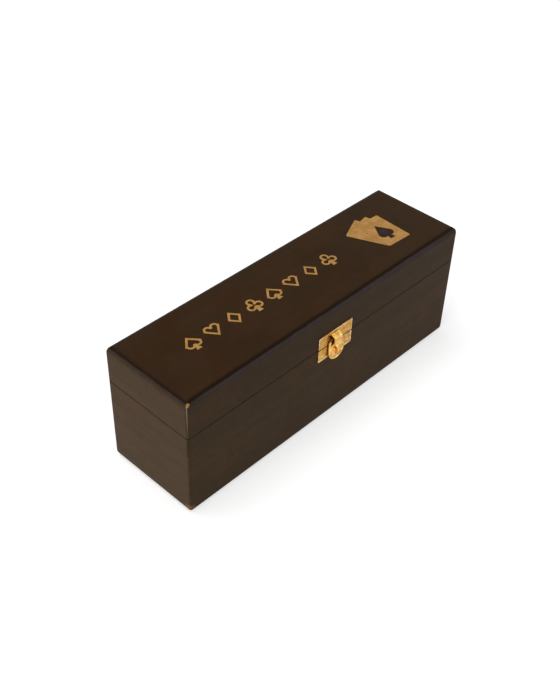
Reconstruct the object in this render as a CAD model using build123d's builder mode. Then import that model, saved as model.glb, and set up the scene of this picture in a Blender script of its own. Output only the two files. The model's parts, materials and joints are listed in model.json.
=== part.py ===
"""A cribbage box: a lidded wooden box with a peg board under the lid and a drawer below it.

Frame: X runs along the box and the drawer opens towards +X, Y runs from the front (-Y) to the
back, Z is up. The origin is the middle of the underside. Lengths are in millimetres.
"""

import os
from math import acos, atan2, cos, hypot, radians, sin

from build123d import *

os.makedirs("parts", exist_ok=True)

# Box: outside sizes and boards
BOX_LENGTH = 280.0
BOX_DEPTH = 79.0
BOX_HEIGHT = 102.0
SEAM_Z = 72.0  # where the lid meets the base
WALL = 7.0  # boards of the sides, the ends and the top
RIM_RADIUS = 5.0  # rounded edges round the top and the bottom of the box
CORNER_RADIUS = 2.0  # upright corners
SEAM_EASE = 0.6  # sanded edges along the seam
BOTTOM_THICKNESS = 6.0

# Peg board under the lid
BOARD_TOP_Z = 70.0
BOARD_THICKNESS = 10.0
BOARD_GAP = 0.2  # between the board and the walls
CLEAT = 5.0  # square section of the strips that carry the board
CLEAT_CHAMFER = 1.0
BOARD_CHAMFER = 0.5
HOLES_IN_GROUP = 5
GROUPS_IN_ROW = 6
HOLE_PITCH = 6.6
GROUP_GAP = 4.0  # added between two groups of holes
ROW_OFFSETS = (10.0, 18.0)  # the two rows of one player, from the middle of the board
TRACK_SHIFT = 6.0  # the tracks sit a little to the right of the start holes
START_GAP = 11.0
HOLE_RADIUS = 1.6
HOLE_DEPTH = 8.0
HOLE_SIDES = 8  # flats of a track hole, which look round at this size

# Pegs
PEG_SHANK_RADIUS = 1.45
PEG_SHANK_LENGTH = 6.5
PEG_COLLAR_RADIUS = 2.3
PEG_COLLAR_HEIGHT = 1.2
PEG_WAIST_RADIUS = 1.1
PEG_WAIST_HEIGHT = 4.5
PEG_HEAD_RADIUS = 1.9
PEG_CHAMFER = 0.9  # round the top
PEG_STANDING_HEIGHT = 15.0

# Drawer
DRAWER_GAP = 0.3  # round the drawer front
DRAWER_RUN_GAP = 0.2  # under the drawer
DRAWER_FRONT_THICKNESS = 10.0
DRAWER_SIDE = 3.0
DRAWER_SIDE_HEIGHT = 47.5
RAIL_HEIGHT = 15.0
PLY = 2.5  # drawer bottom
PLY_LIFT = 2.0  # from the underside of the sides to the drawer bottom
GROOVE_DEPTH = 1.5
CARD_BAY = 92.0  # holds a deck of cards 89 long and 57 wide
DIVIDER_HEIGHT = 38.0

# Drawer knob
KNOB_LENGTH = 12.0
KNOB_RADIUS = 5.0
KNOB_NECK_RADIUS = 2.4
KNOB_FLANGE_RADIUS = 4.2
KNOB_FLANGE = 0.9  # thickness of the flange on the drawer front
KNOB_NECK_END = 3.4
KNOB_SCREW_RADIUS = 1.5
KNOB_SCREW_DEPTH = 7.0  # of the screw inside the knob
SCREW_CLEARANCE = 0.05

# Hinges on the back
HINGE_CENTRES = (-92.0, 92.0)
HINGE_WIDTH = 26.0
LEAF_HEIGHT = 9.2
LEAF_THICKNESS = 0.8
KNUCKLES = 5
KNUCKLE_RADIUS = 1.6
KNUCKLE_GAP = 0.2
HINGE_PIN_RADIUS = 0.8
HINGE_BORE_RADIUS = 0.86
HINGE_AXIS_OUT = 1.75  # from the back face to the hinge pin
LEAF_RELIEF = 1.95  # from the hinge pin to the edge of a leaf between its knuckles
LEAF_SCREW_X = 8.0  # each side of the middle of the hinge

# Small countersunk screws of the hinges
SCREW_HEAD_RADIUS = 1.7
SCREW_SHANK_RADIUS = 0.9
SCREW_LENGTH = 5.6
SCREW_SLOT = 0.4

# Clasp on the front
PLATE_WIDTH = 35.0
PLATE_THICKNESS = 0.8
UPPER_PLATE_Z = (72.4, 82.9)
LOWER_PLATE_Z = (61.2, 71.8)
PLATE_CORNER = 0.8
CLASP_PIN_X = 13.4
CLASP_PIN_Z = (65.8, 77.8)  # on the lower and on the upper plate
CLASP_PIN_RADIUS = 0.6
CLASP_PIN_LENGTH = 5.0
CLASP_PIN_HEAD_RADIUS = 1.15
CLASP_PIN_HEAD_HEIGHT = 0.4
BRIDGE_WIDTH = 8.0
BRIDGE_SHIFT = -0.7  # the bridge sits a little left of the middle
BRIDGE_STRIP = 0.7
BRIDGE_OUT = 4.4  # outer face of the bridge, from the wood
PIVOT_Z = 64.8
PIVOT_BOSS_RADIUS = 2.4
HOOK_BACK = 1.3  # back of the hook, from the wood
HOOK_THICKNESS = 0.9
HOOK_DISC_RADIUS = 8.0
HOOK_RIM_WIDTH = 1.4
HOOK_RIM_HEIGHT = 0.6
HOOK_INNER_RADIUS = 10.2  # of the curved tip, about the pivot
HOOK_OUTER_RADIUS = 12.4
HOOK_TIP_X = 2.6  # end of the tip, inside the bridge
HOOK_ROOT_ANGLE = 124.0  # where the slot behind the tip ends
PIVOT_RADIUS = 0.9
PIVOT_TAIL_RADIUS = 1.5
PIVOT_TAIL_DEPTH = 0.9
PIVOT_TAIL_ROOM = 0.4  # between the tail and its hollow in the wood
FIN_LENGTH = 8.0
FIN_WIDTH = 1.5
FIN_OUT = 4.4  # top of the thumb fin, from the wood

# Inlay in the lid
INLAY_DEPTH = 1.2
INLAY_GAP = 0.1  # dark line between an inlay and the wood
CARD_WIDTH = 23.0
CARD_HEIGHT = 34.4
CARD_CORNER = 1.2
CARD_FAN_CORNER = (82.8, -19.0)  # the corner that the three cards share
CARD_ANGLES = {"front": -2.5, "middle": 10.5, "rear": 24.0}
CARD_LINE = 0.12  # joint between two cards
SPADE_CENTRE = (94.0, -3.8)
SPADE_WIDTH = 13.5
SPADE_HEIGHT = 19.2

half_length = BOX_LENGTH / 2
half_depth = BOX_DEPTH / 2
inner_x = half_length - WALL
inner_y = half_depth - WALL
front_face = Plane.XZ.offset(half_depth)
back_face = Plane(origin=(0, half_depth, 0), x_dir=(-1, 0, 0), z_dir=(0, 1, 0))


def keep(piece, name):
    """Label a finished piece and write it as one STEP file."""
    piece.part.label = name
    export_step(piece.part, f"parts/{name}.step")


# ---------------------------------------------------------------- outer form of the box


def outer_form(low, high, closed_end):
    """Outside of the base or the lid, with the large rounding at its closed end."""
    with BuildPart() as form:
        with BuildSketch(Plane.XY.offset(low)):
            Rectangle(BOX_LENGTH, BOX_DEPTH)
        extrude(amount=high - low)
        fillet(form.faces().sort_by(Axis.Z)[closed_end].edges(), RIM_RADIUS)
        near_corner = (half_length - RIM_RADIUS, half_depth - RIM_RADIUS)
        middles = [(edge, edge.center()) for edge in form.edges()]
        corners = [edge for edge, at in middles if abs(at.X) > near_corner[0] and abs(at.Y) > near_corner[1]]
        fillet(corners, CORNER_RADIUS)
        chamfer(form.faces().sort_by(Axis.Z)[-1 - closed_end].edges(), SEAM_EASE)
    return form.part


base_form = outer_form(0, SEAM_Z, 0)
lid_form = outer_form(SEAM_Z, BOX_HEIGHT, -1)
lid_wall_top = BOX_HEIGHT - WALL

# ---------------------------------------------------------------- fastener places

leaf_screw_rise = LEAF_RELIEF + LEAF_HEIGHT / 2 - 0.4  # from the seam to the hinge screws
leaf_screw_z = {"base": SEAM_Z - leaf_screw_rise, "lid": SEAM_Z + leaf_screw_rise}
leaf_screw_x = [centre + side * LEAF_SCREW_X for centre in HINGE_CENTRES for side in (-1, 1)]
clasp_pin_z = {"base": CLASP_PIN_Z[0], "lid": CLASP_PIN_Z[1]}


def screw_holes(body):
    """Blind holes for the hinge screws in a back board."""
    with Locations(back_face):
        with Locations(*[(x, leaf_screw_z[body]) for x in leaf_screw_x]):
            Hole(SCREW_SHANK_RADIUS + SCREW_CLEARANCE, SCREW_LENGTH)


def pin_holes(body, depth):
    """Holes for the two clasp pins in a front board or in a plate of the clasp."""
    with Locations(front_face.offset(PLATE_THICKNESS)):
        with Locations((-CLASP_PIN_X, clasp_pin_z[body]), (CLASP_PIN_X, clasp_pin_z[body])):
            Hole(CLASP_PIN_RADIUS + SCREW_CLEARANCE, PLATE_THICKNESS + depth)


def wall_outline(side, right_end_mitred):
    """Plan of a front (side -1) or back (side 1) board, mitred at 45 degrees at the left."""
    Polygon(
        (-half_length, side * half_depth),
        (half_length, side * half_depth),
        (inner_x if right_end_mitred else half_length, side * inner_y),
        (-inner_x, side * inner_y),
        align=None,
    )


def end_outline(side):
    """Plan of a left (side -1) or right (side 1) end board, mitred at both ends."""
    Polygon(
        (side * half_length, -half_depth),
        (side * half_length, half_depth),
        (side * inner_x, inner_y),
        (side * inner_x, -inner_y),
        align=None,
    )


# ---------------------------------------------------------------- base

with BuildPart() as base_bottom:
    with BuildSketch():
        with Locations(((half_length - inner_x) / 2, 0)):
            Rectangle(half_length + inner_x, 2 * inner_y)
    extrude(amount=BOTTOM_THICKNESS)
    add(base_form, mode=Mode.INTERSECT)
keep(base_bottom, "base_bottom")

with BuildPart() as base_front:
    with BuildSketch():
        wall_outline(-1, False)
    extrude(amount=SEAM_Z)
    add(base_form, mode=Mode.INTERSECT)
    pin_holes("base", CLASP_PIN_LENGTH)
    with Locations(front_face):
        with Locations((0, PIVOT_Z)):
            Hole(PIVOT_TAIL_RADIUS + PIVOT_TAIL_ROOM, PIVOT_TAIL_DEPTH + PIVOT_TAIL_ROOM)
keep(base_front, "base_front")

with BuildPart() as base_back:
    with BuildSketch():
        wall_outline(1, False)
    extrude(amount=SEAM_Z)
    add(base_form, mode=Mode.INTERSECT)
    screw_holes("base")
keep(base_back, "base_back")

with BuildPart() as base_left_end:
    with BuildSketch():
        end_outline(-1)
    extrude(amount=SEAM_Z)
    add(base_form, mode=Mode.INTERSECT)
keep(base_left_end, "base_left_end")

rail_z = SEAM_Z - RAIL_HEIGHT
with BuildPart() as base_right_rail:
    with BuildSketch(Plane.XY.offset(rail_z)):
        with Locations((half_length - WALL / 2, 0)):
            Rectangle(WALL, 2 * inner_y)
    extrude(amount=RAIL_HEIGHT)
    add(base_form, mode=Mode.INTERSECT)
keep(base_right_rail, "base_right_rail")

board_underside = BOARD_TOP_Z - BOARD_THICKNESS
front_inside = half_length - DRAWER_FRONT_THICKNESS  # inner face of the drawer front
for side, name in ((-1, "board_cleat_front"), (1, "board_cleat_back")):
    with BuildPart() as board_cleat:
        with BuildSketch(Plane.XY.offset(board_underside - CLEAT)):
            with Locations(((front_inside - DRAWER_GAP - inner_x) / 2, side * (inner_y - CLEAT / 2))):
                Rectangle(front_inside - DRAWER_GAP + inner_x, CLEAT)
        extrude(amount=CLEAT)
        low_edges = board_cleat.edges().filter_by(Axis.X).group_by(Axis.Z)[0].sort_by(Axis.Y)
        chamfer(low_edges[0 if side > 0 else -1], CLEAT_CHAMFER)
    keep(board_cleat, name)

# ---------------------------------------------------------------- peg board

row_y = [side * offset for side in (-1, 1) for offset in ROW_OFFSETS]
group_pitch = HOLES_IN_GROUP * HOLE_PITCH + GROUP_GAP
track_length = GROUPS_IN_ROW * group_pitch - GROUP_GAP - HOLE_PITCH
track_start = TRACK_SHIFT - track_length / 2
track_x = [
    track_start + group * group_pitch + hole * HOLE_PITCH
    for group in range(GROUPS_IN_ROW)
    for hole in range(HOLES_IN_GROUP)
]
track_holes = [(x, y) for x in track_x for y in row_y]
row_middle = sum(ROW_OFFSETS) / 2
game_holes = [(track_start + track_length + START_GAP, side * row_middle) for side in (-1, 1)]
start_holes = [(track_start - START_GAP, y) for y in row_y]

with BuildPart() as peg_board:
    with BuildSketch(Plane.XY.offset(board_underside)):
        Rectangle(2 * (inner_x - BOARD_GAP), 2 * (inner_y - BOARD_GAP))
    extrude(amount=BOARD_THICKNESS)
    chamfer(peg_board.faces().sort_by(Axis.Z)[-1].edges(), BOARD_CHAMFER)
    with BuildSketch(Plane.XY.offset(BOARD_TOP_Z)):
        with Locations(*track_holes, *game_holes):
            RegularPolygon(HOLE_RADIUS, HOLE_SIDES, major_radius=False, rotation=180 / HOLE_SIDES)
        with Locations(*start_holes):
            Circle(HOLE_RADIUS)
    extrude(amount=-HOLE_DEPTH, mode=Mode.SUBTRACT)
keep(peg_board, "peg_board")

for number, (x, y) in enumerate(start_holes, 1):
    with BuildPart() as peg:
        with BuildSketch(Plane(origin=(x, y, BOARD_TOP_Z), x_dir=(1, 0, 0), z_dir=(0, -1, 0))):
            with BuildLine():
                Polyline(
                    (0, -PEG_SHANK_LENGTH),
                    (PEG_SHANK_RADIUS, -PEG_SHANK_LENGTH),
                    (PEG_SHANK_RADIUS, 0),
                    (PEG_COLLAR_RADIUS, 0),
                    (PEG_COLLAR_RADIUS, PEG_COLLAR_HEIGHT),
                    (PEG_WAIST_RADIUS, PEG_WAIST_HEIGHT),
                    (PEG_HEAD_RADIUS, PEG_STANDING_HEIGHT - PEG_CHAMFER),
                    (PEG_HEAD_RADIUS - PEG_CHAMFER, PEG_STANDING_HEIGHT),
                    (0, PEG_STANDING_HEIGHT),
                    close=True,
                )
            make_face()
        revolve(axis=Axis((x, y, 0), (0, 0, 1)))
    keep(peg, f"peg_{number}")

# ---------------------------------------------------------------- drawer

drawer_y = inner_y - DRAWER_GAP
drawer_low = BOTTOM_THICKNESS + DRAWER_RUN_GAP
drawer_back_x = -inner_x + DRAWER_GAP
ply_low = drawer_low + PLY_LIFT
ply_top = ply_low + PLY
knob_z = (BOTTOM_THICKNESS + rail_z) / 2
inside_y = drawer_y - DRAWER_SIDE

with BuildPart() as drawer_front:
    with BuildSketch(Plane.YZ.offset(front_inside)):
        with Locations((0, knob_z)):
            Rectangle(2 * drawer_y, rail_z - BOTTOM_THICKNESS - 2 * DRAWER_GAP)
    extrude(amount=DRAWER_FRONT_THICKNESS)
    chamfer(drawer_front.faces().sort_by(Axis.X)[-1].edges(), SEAM_EASE)
    with BuildSketch(Plane.YZ.offset(front_inside)):
        with Locations((0, ply_low + PLY / 2)):
            Rectangle(2 * (inside_y + GROOVE_DEPTH), PLY)
    extrude(amount=2 * GROOVE_DEPTH, mode=Mode.SUBTRACT)
    with BuildSketch(Plane.YZ.offset(half_length)):
        with Locations((0, knob_z)):
            Circle(KNOB_SCREW_RADIUS + SCREW_CLEARANCE)
    extrude(amount=-DRAWER_FRONT_THICKNESS, mode=Mode.SUBTRACT)
keep(drawer_front, "drawer_front")

for side, name in ((-1, "drawer_side_front"), (1, "drawer_side_back")):
    with BuildPart() as drawer_side:
        with BuildSketch(Plane.XY.offset(drawer_low)):
            with Locations(((front_inside + drawer_back_x) / 2, side * (drawer_y - DRAWER_SIDE / 2))):
                Rectangle(front_inside - drawer_back_x, DRAWER_SIDE)
        extrude(amount=DRAWER_SIDE_HEIGHT)
        with BuildSketch(Plane.XY.offset(ply_low)):
            with Locations(((front_inside + drawer_back_x) / 2, side * (inside_y + GROOVE_DEPTH / 2))):
                Rectangle(front_inside - drawer_back_x, GROOVE_DEPTH)
        extrude(amount=PLY, mode=Mode.SUBTRACT)
    keep(drawer_side, name)

with BuildPart() as drawer_bottom:
    with BuildSketch(Plane.XY.offset(ply_low)):
        with Locations(((front_inside + GROOVE_DEPTH + drawer_back_x) / 2, 0)):
            Rectangle(front_inside + GROOVE_DEPTH - drawer_back_x, 2 * (inside_y + GROOVE_DEPTH - 0.1))
    extrude(amount=PLY)
keep(drawer_bottom, "drawer_bottom")

with BuildPart() as drawer_back:
    with BuildSketch(Plane.XY.offset(ply_top)):
        with Locations((drawer_back_x + DRAWER_SIDE / 2, 0)):
            Rectangle(DRAWER_SIDE, 2 * inside_y)
    extrude(amount=drawer_low + DRAWER_SIDE_HEIGHT - ply_top)
keep(drawer_back, "drawer_back")

bay_start = drawer_back_x + DRAWER_SIDE
divider_x = (bay_start + CARD_BAY, bay_start + 2 * CARD_BAY + DRAWER_SIDE)
for low_x, name in zip(divider_x, ("drawer_divider_left", "drawer_divider_right")):
    with BuildPart() as drawer_divider:
        with BuildSketch(Plane.YZ.offset(low_x)):
            with Locations((0, ply_top + DIVIDER_HEIGHT / 2)):
                Rectangle(2 * inside_y, DIVIDER_HEIGHT)
            with Locations((0, ply_top + DIVIDER_HEIGHT)):
                Circle(DIVIDER_HEIGHT / 2.6, mode=Mode.SUBTRACT)  # thumb cut-out
        extrude(amount=DRAWER_SIDE)
    keep(drawer_divider, name)

with BuildPart() as drawer_knob:
    with BuildSketch(Plane(origin=(half_length, 0, knob_z), x_dir=(1, 0, 0), z_dir=(0, -1, 0))):
        with BuildLine():
            Polyline(
                (0, 0),
                (0, KNOB_FLANGE_RADIUS),
                (KNOB_FLANGE, KNOB_FLANGE_RADIUS),
                (KNOB_FLANGE + 0.8, KNOB_NECK_RADIUS),
                (KNOB_NECK_END, KNOB_NECK_RADIUS),
                (KNOB_NECK_END + 3.0, KNOB_RADIUS - 0.4),
                (KNOB_NECK_END + 3.6, KNOB_RADIUS),
                (KNOB_LENGTH - 2.2, KNOB_RADIUS),
                (KNOB_LENGTH - 0.8, KNOB_RADIUS - 0.9),
                (KNOB_LENGTH, KNOB_RADIUS - 2.6),
                (KNOB_LENGTH, 0),
                close=True,
            )
        make_face()
    revolve(axis=Axis((half_length, 0, knob_z), (1, 0, 0)))
    with BuildSketch(Plane.YZ.offset(half_length)):
        with Locations((0, knob_z)):
            Circle(KNOB_SCREW_RADIUS + SCREW_CLEARANCE)
    extrude(amount=KNOB_SCREW_DEPTH + 0.6, mode=Mode.SUBTRACT)
keep(drawer_knob, "drawer_knob")

with BuildPart() as drawer_knob_screw:
    with BuildSketch(Plane.YZ.offset(front_inside)):
        with Locations((0, knob_z)):
            Circle(2 * KNOB_SCREW_RADIUS)
    extrude(amount=-1.8)
    chamfer(drawer_knob_screw.faces().sort_by(Axis.X)[0].edges(), 0.6)
    with BuildSketch(Plane.YZ.offset(front_inside - 1.8)):
        with Locations((0, knob_z)):
            Rectangle(6 * KNOB_SCREW_RADIUS, 0.8)
    extrude(amount=0.8, mode=Mode.SUBTRACT)
    with BuildSketch(Plane.YZ.offset(front_inside)):
        with Locations((0, knob_z)):
            Circle(KNOB_SCREW_RADIUS)
    extrude(amount=DRAWER_FRONT_THICKNESS + KNOB_SCREW_DEPTH)
keep(drawer_knob_screw, "drawer_knob_screw")

# ---------------------------------------------------------------- lid walls

with BuildPart() as lid_front:
    with BuildSketch(Plane.XY.offset(SEAM_Z)):
        wall_outline(-1, True)
    extrude(amount=lid_wall_top - SEAM_Z)
    add(lid_form, mode=Mode.INTERSECT)
    pin_holes("lid", CLASP_PIN_LENGTH)
keep(lid_front, "lid_front")

with BuildPart() as lid_back:
    with BuildSketch(Plane.XY.offset(SEAM_Z)):
        wall_outline(1, True)
    extrude(amount=lid_wall_top - SEAM_Z)
    add(lid_form, mode=Mode.INTERSECT)
    screw_holes("lid")
keep(lid_back, "lid_back")

for side, name in ((-1, "lid_left_end"), (1, "lid_right_end")):
    with BuildPart() as lid_end:
        with BuildSketch(Plane.XY.offset(SEAM_Z)):
            end_outline(side)
        extrude(amount=lid_wall_top - SEAM_Z)
        add(lid_form, mode=Mode.INTERSECT)
    keep(lid_end, name)

# ---------------------------------------------------------------- inlay shapes


def tangent_point(point, centre, radius, side):
    """Where a line from the point touches a circle, on its left (1) or right (-1) side."""
    reach = hypot(point[0] - centre[0], point[1] - centre[1])
    towards = atan2(point[1] - centre[1], point[0] - centre[0])
    angle = towards + side * acos(radius / reach)
    return (centre[0] + radius * cos(angle), centre[1] + radius * sin(angle))


def spade_body(width, height):
    """A point at the top and two round lobes below, joined by straight tangent sides."""
    lobe = 0.27 * width
    tip = (0, height / 2)
    right = (width / 2 - lobe, lobe - height / 2)
    left = (-right[0], right[1])
    low_right, low_left = tangent_point(tip, right, lobe, -1), tangent_point(tip, left, lobe, 1)
    Polygon(tip, low_right, right, left, low_left, align=None)
    with Locations(left, right):
        Circle(lobe)


def stem(width, top, bottom):
    """A foot that widens downwards."""
    Polygon((-width / 5, top), (width / 5, top), (width / 2, bottom), (-width / 2, bottom), align=None)


def spade(width, height):
    """Spade sign, centred, with its stem."""
    body_height = 0.82 * height
    with BuildSketch() as sign:
        with BuildSketch(mode=Mode.PRIVATE) as body:
            spade_body(width, body_height)
        with Locations((0, (height - body_height) / 2)):
            add(body.sketch)
        stem(0.34 * width, 0, -height / 2)
    return sign.sketch


def widened(sign, gap):
    """The pocket of an inlay: its outline with a gap round it."""
    with BuildSketch() as pocket:
        add(sign)
        offset(amount=gap, mode=Mode.REPLACE)
    return pocket.sketch


def card(angle, growth=0.0):
    """A card turned about the corner of the fan, grown or shrunk all round."""
    with BuildSketch() as outline:
        with Locations((CARD_WIDTH / 2, CARD_HEIGHT / 2)):
            RectangleRounded(CARD_WIDTH + 2 * growth, CARD_HEIGHT + 2 * growth, CARD_CORNER + growth)
    return outline.sketch.rotate(Axis.Z, angle).translate((*CARD_FAN_CORNER, 0))


upright_spade = spade(SPADE_WIDTH, SPADE_HEIGHT)
card_spade = upright_spade.rotate(Axis.Z, CARD_ANGLES["front"]).translate((*SPADE_CENTRE, 0))

# ---------------------------------------------------------------- lid top and inlay

with BuildPart() as lid_top:
    with BuildSketch(Plane.XY.offset(lid_wall_top)):
        Rectangle(BOX_LENGTH, BOX_DEPTH)
    extrude(amount=WALL)
    add(lid_form, mode=Mode.INTERSECT)
    with BuildSketch(Plane.XY.offset(BOX_HEIGHT)):
        for angle in CARD_ANGLES.values():
            add(card(angle, INLAY_GAP))
    extrude(amount=-INLAY_DEPTH, mode=Mode.SUBTRACT)
keep(lid_top, "lid_top")

inlay_floor = Plane.XY.offset(BOX_HEIGHT - INLAY_DEPTH)
with BuildPart() as inlay_card_front:
    with BuildSketch(inlay_floor):
        add(card(CARD_ANGLES["front"]))
        add(widened(card_spade, INLAY_GAP), mode=Mode.SUBTRACT)
    extrude(amount=INLAY_DEPTH)
keep(inlay_card_front, "inlay_card_front")

with BuildPart() as inlay_card_middle:
    with BuildSketch(inlay_floor):
        add(card(CARD_ANGLES["middle"]))
        add(card(CARD_ANGLES["front"], CARD_LINE), mode=Mode.SUBTRACT)
    extrude(amount=INLAY_DEPTH)
keep(inlay_card_middle, "inlay_card_middle")

with BuildPart() as inlay_card_rear:
    with BuildSketch(inlay_floor):
        add(card(CARD_ANGLES["rear"]))
        add(card(CARD_ANGLES["front"], CARD_LINE), mode=Mode.SUBTRACT)
        add(card(CARD_ANGLES["middle"], CARD_LINE), mode=Mode.SUBTRACT)
    extrude(amount=INLAY_DEPTH)
keep(inlay_card_rear, "inlay_card_rear")

with BuildPart() as inlay_spade:
    with BuildSketch(inlay_floor):
        add(card_spade)
    extrude(amount=INLAY_DEPTH)
keep(inlay_spade, "inlay_spade")

# ---------------------------------------------------------------- hinges

hinge_y = half_depth + HINGE_AXIS_OUT
knuckle_length = HINGE_WIDTH / KNUCKLES
shank_hole = SCREW_SHANK_RADIUS + SCREW_CLEARANCE


def hinge_leaf(centre, body):
    """One leaf of a butt hinge with its share of the knuckles."""
    up = 1 if body == "lid" else -1
    own = [k for k in range(KNUCKLES) if (k % 2 == 1) == (body == "lid")]
    knuckle_x = [centre + (k - (KNUCKLES - 1) / 2) * knuckle_length for k in own]
    with BuildPart() as leaf:
        with BuildSketch(back_face):
            with Locations((-centre, SEAM_Z + up * (LEAF_RELIEF + LEAF_HEIGHT / 2))):
                Rectangle(HINGE_WIDTH, LEAF_HEIGHT)
            with Locations(*[(-x, SEAM_Z + up * (LEAF_RELIEF + 0.1) / 2) for x in knuckle_x]):
                Rectangle(knuckle_length - KNUCKLE_GAP, LEAF_RELIEF + 0.1)
        extrude(amount=LEAF_THICKNESS)
        for x in knuckle_x:
            with BuildSketch(Plane.YZ.offset(x)):
                with Locations((hinge_y, SEAM_Z)):
                    Circle(KNUCKLE_RADIUS)
            extrude(amount=(knuckle_length - KNUCKLE_GAP) / 2, both=True)
        with BuildSketch(Plane.YZ.offset(centre)):
            with Locations((hinge_y, SEAM_Z)):
                Circle(HINGE_BORE_RADIUS)
        extrude(amount=HINGE_WIDTH, both=True, mode=Mode.SUBTRACT)
        with Locations(back_face.offset(LEAF_THICKNESS)):
            with Locations(*[(-centre + side * LEAF_SCREW_X, leaf_screw_z[body]) for side in (-1, 1)]):
                CounterSinkHole(shank_hole, SCREW_HEAD_RADIUS + SCREW_CLEARANCE, LEAF_THICKNESS + 1, 90)
    return leaf


for centre, hand in zip(HINGE_CENTRES, ("left", "right")):
    hinge_base_leaf = hinge_leaf(centre, "base")
    keep(hinge_base_leaf, f"hinge_base_leaf_{hand}")
    hinge_lid_leaf = hinge_leaf(centre, "lid")
    keep(hinge_lid_leaf, f"hinge_lid_leaf_{hand}")
    with BuildPart() as hinge_pin:
        with BuildSketch(Plane.YZ.offset(centre)):
            with Locations((hinge_y, SEAM_Z)):
                Circle(HINGE_PIN_RADIUS)
        extrude(amount=HINGE_WIDTH / 2 + 0.3, both=True)
    keep(hinge_pin, f"hinge_pin_{hand}")


def hinge_screws(body):
    """The four countersunk screws of one side of both hinges."""
    with BuildPart() as screws:
        for x in leaf_screw_x:
            head_top = (x, half_depth + LEAF_THICKNESS, leaf_screw_z[body])
            with BuildSketch(Plane(origin=head_top, x_dir=(1, 0, 0), z_dir=(0, 0, 1))):
                with BuildLine():
                    Polyline(
                        (0, 0),
                        (SCREW_HEAD_RADIUS, 0),
                        (SCREW_SHANK_RADIUS, SCREW_SHANK_RADIUS - SCREW_HEAD_RADIUS),
                        (SCREW_SHANK_RADIUS, -SCREW_LENGTH),
                        (0, -SCREW_LENGTH),
                        close=True,
                    )
                make_face()
            revolve(axis=Axis((x, half_depth, leaf_screw_z[body]), (0, 1, 0)))
        with BuildSketch(back_face.offset(LEAF_THICKNESS)):
            with Locations(*[(x, leaf_screw_z[body]) for x in leaf_screw_x]):
                Rectangle(3 * SCREW_HEAD_RADIUS, SCREW_SLOT, rotation=35)
        extrude(amount=-SCREW_SLOT, mode=Mode.SUBTRACT)
    return screws


hinge_screws_base = hinge_screws("base")
keep(hinge_screws_base, "hinge_screws_base")
hinge_screws_lid = hinge_screws("lid")
keep(hinge_screws_lid, "hinge_screws_lid")

# ---------------------------------------------------------------- clasp


def clasp_plate(low, high, body):
    """Thin stamped plate on the front, with its two pin holes."""
    with BuildPart() as plate:
        with BuildSketch(front_face):
            with Locations((0, (low + high) / 2)):
                RectangleRounded(PLATE_WIDTH, high - low, PLATE_CORNER)
        extrude(amount=PLATE_THICKNESS)
        pin_holes(body, 0)
    return plate.part


# Side view of the bridge: y is the distance from the wood, z the height. The upper leg slopes out.
bridge_line = [
    (PLATE_THICKNESS - 0.3, 80.0),
    (BRIDGE_OUT - BRIDGE_STRIP / 2, 77.6),
    (BRIDGE_OUT - BRIDGE_STRIP / 2, UPPER_PLATE_Z[0] + 0.5),
    (PLATE_THICKNESS - 0.3, UPPER_PLATE_Z[0] + 0.5),
]
with BuildPart() as clasp_upper_plate:
    add(clasp_plate(*UPPER_PLATE_Z, "lid"))
    with BuildSketch(Plane.YZ.offset(BRIDGE_SHIFT)) as bridge_section:
        with BuildLine():
            FilletPolyline(*[(-half_depth - out, height) for out, height in bridge_line], radius=0.9)
        trace(line_width=BRIDGE_STRIP)
    extrude(amount=BRIDGE_WIDTH / 2, both=True)
keep(clasp_upper_plate, "clasp_upper_plate")

with BuildPart() as clasp_lower_plate:
    add(clasp_plate(*LOWER_PLATE_Z, "base"))
    with BuildSketch(front_face.offset(PLATE_THICKNESS)):
        with Locations((0, PIVOT_Z)):
            Circle(PIVOT_BOSS_RADIUS)
    extrude(amount=HOOK_BACK - PLATE_THICKNESS)
    with BuildSketch(front_face):
        with Locations((0, PIVOT_Z)):
            Circle(PIVOT_RADIUS + SCREW_CLEARANCE)
    extrude(amount=HOOK_BACK, mode=Mode.SUBTRACT)
keep(clasp_lower_plate, "clasp_lower_plate")

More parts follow.
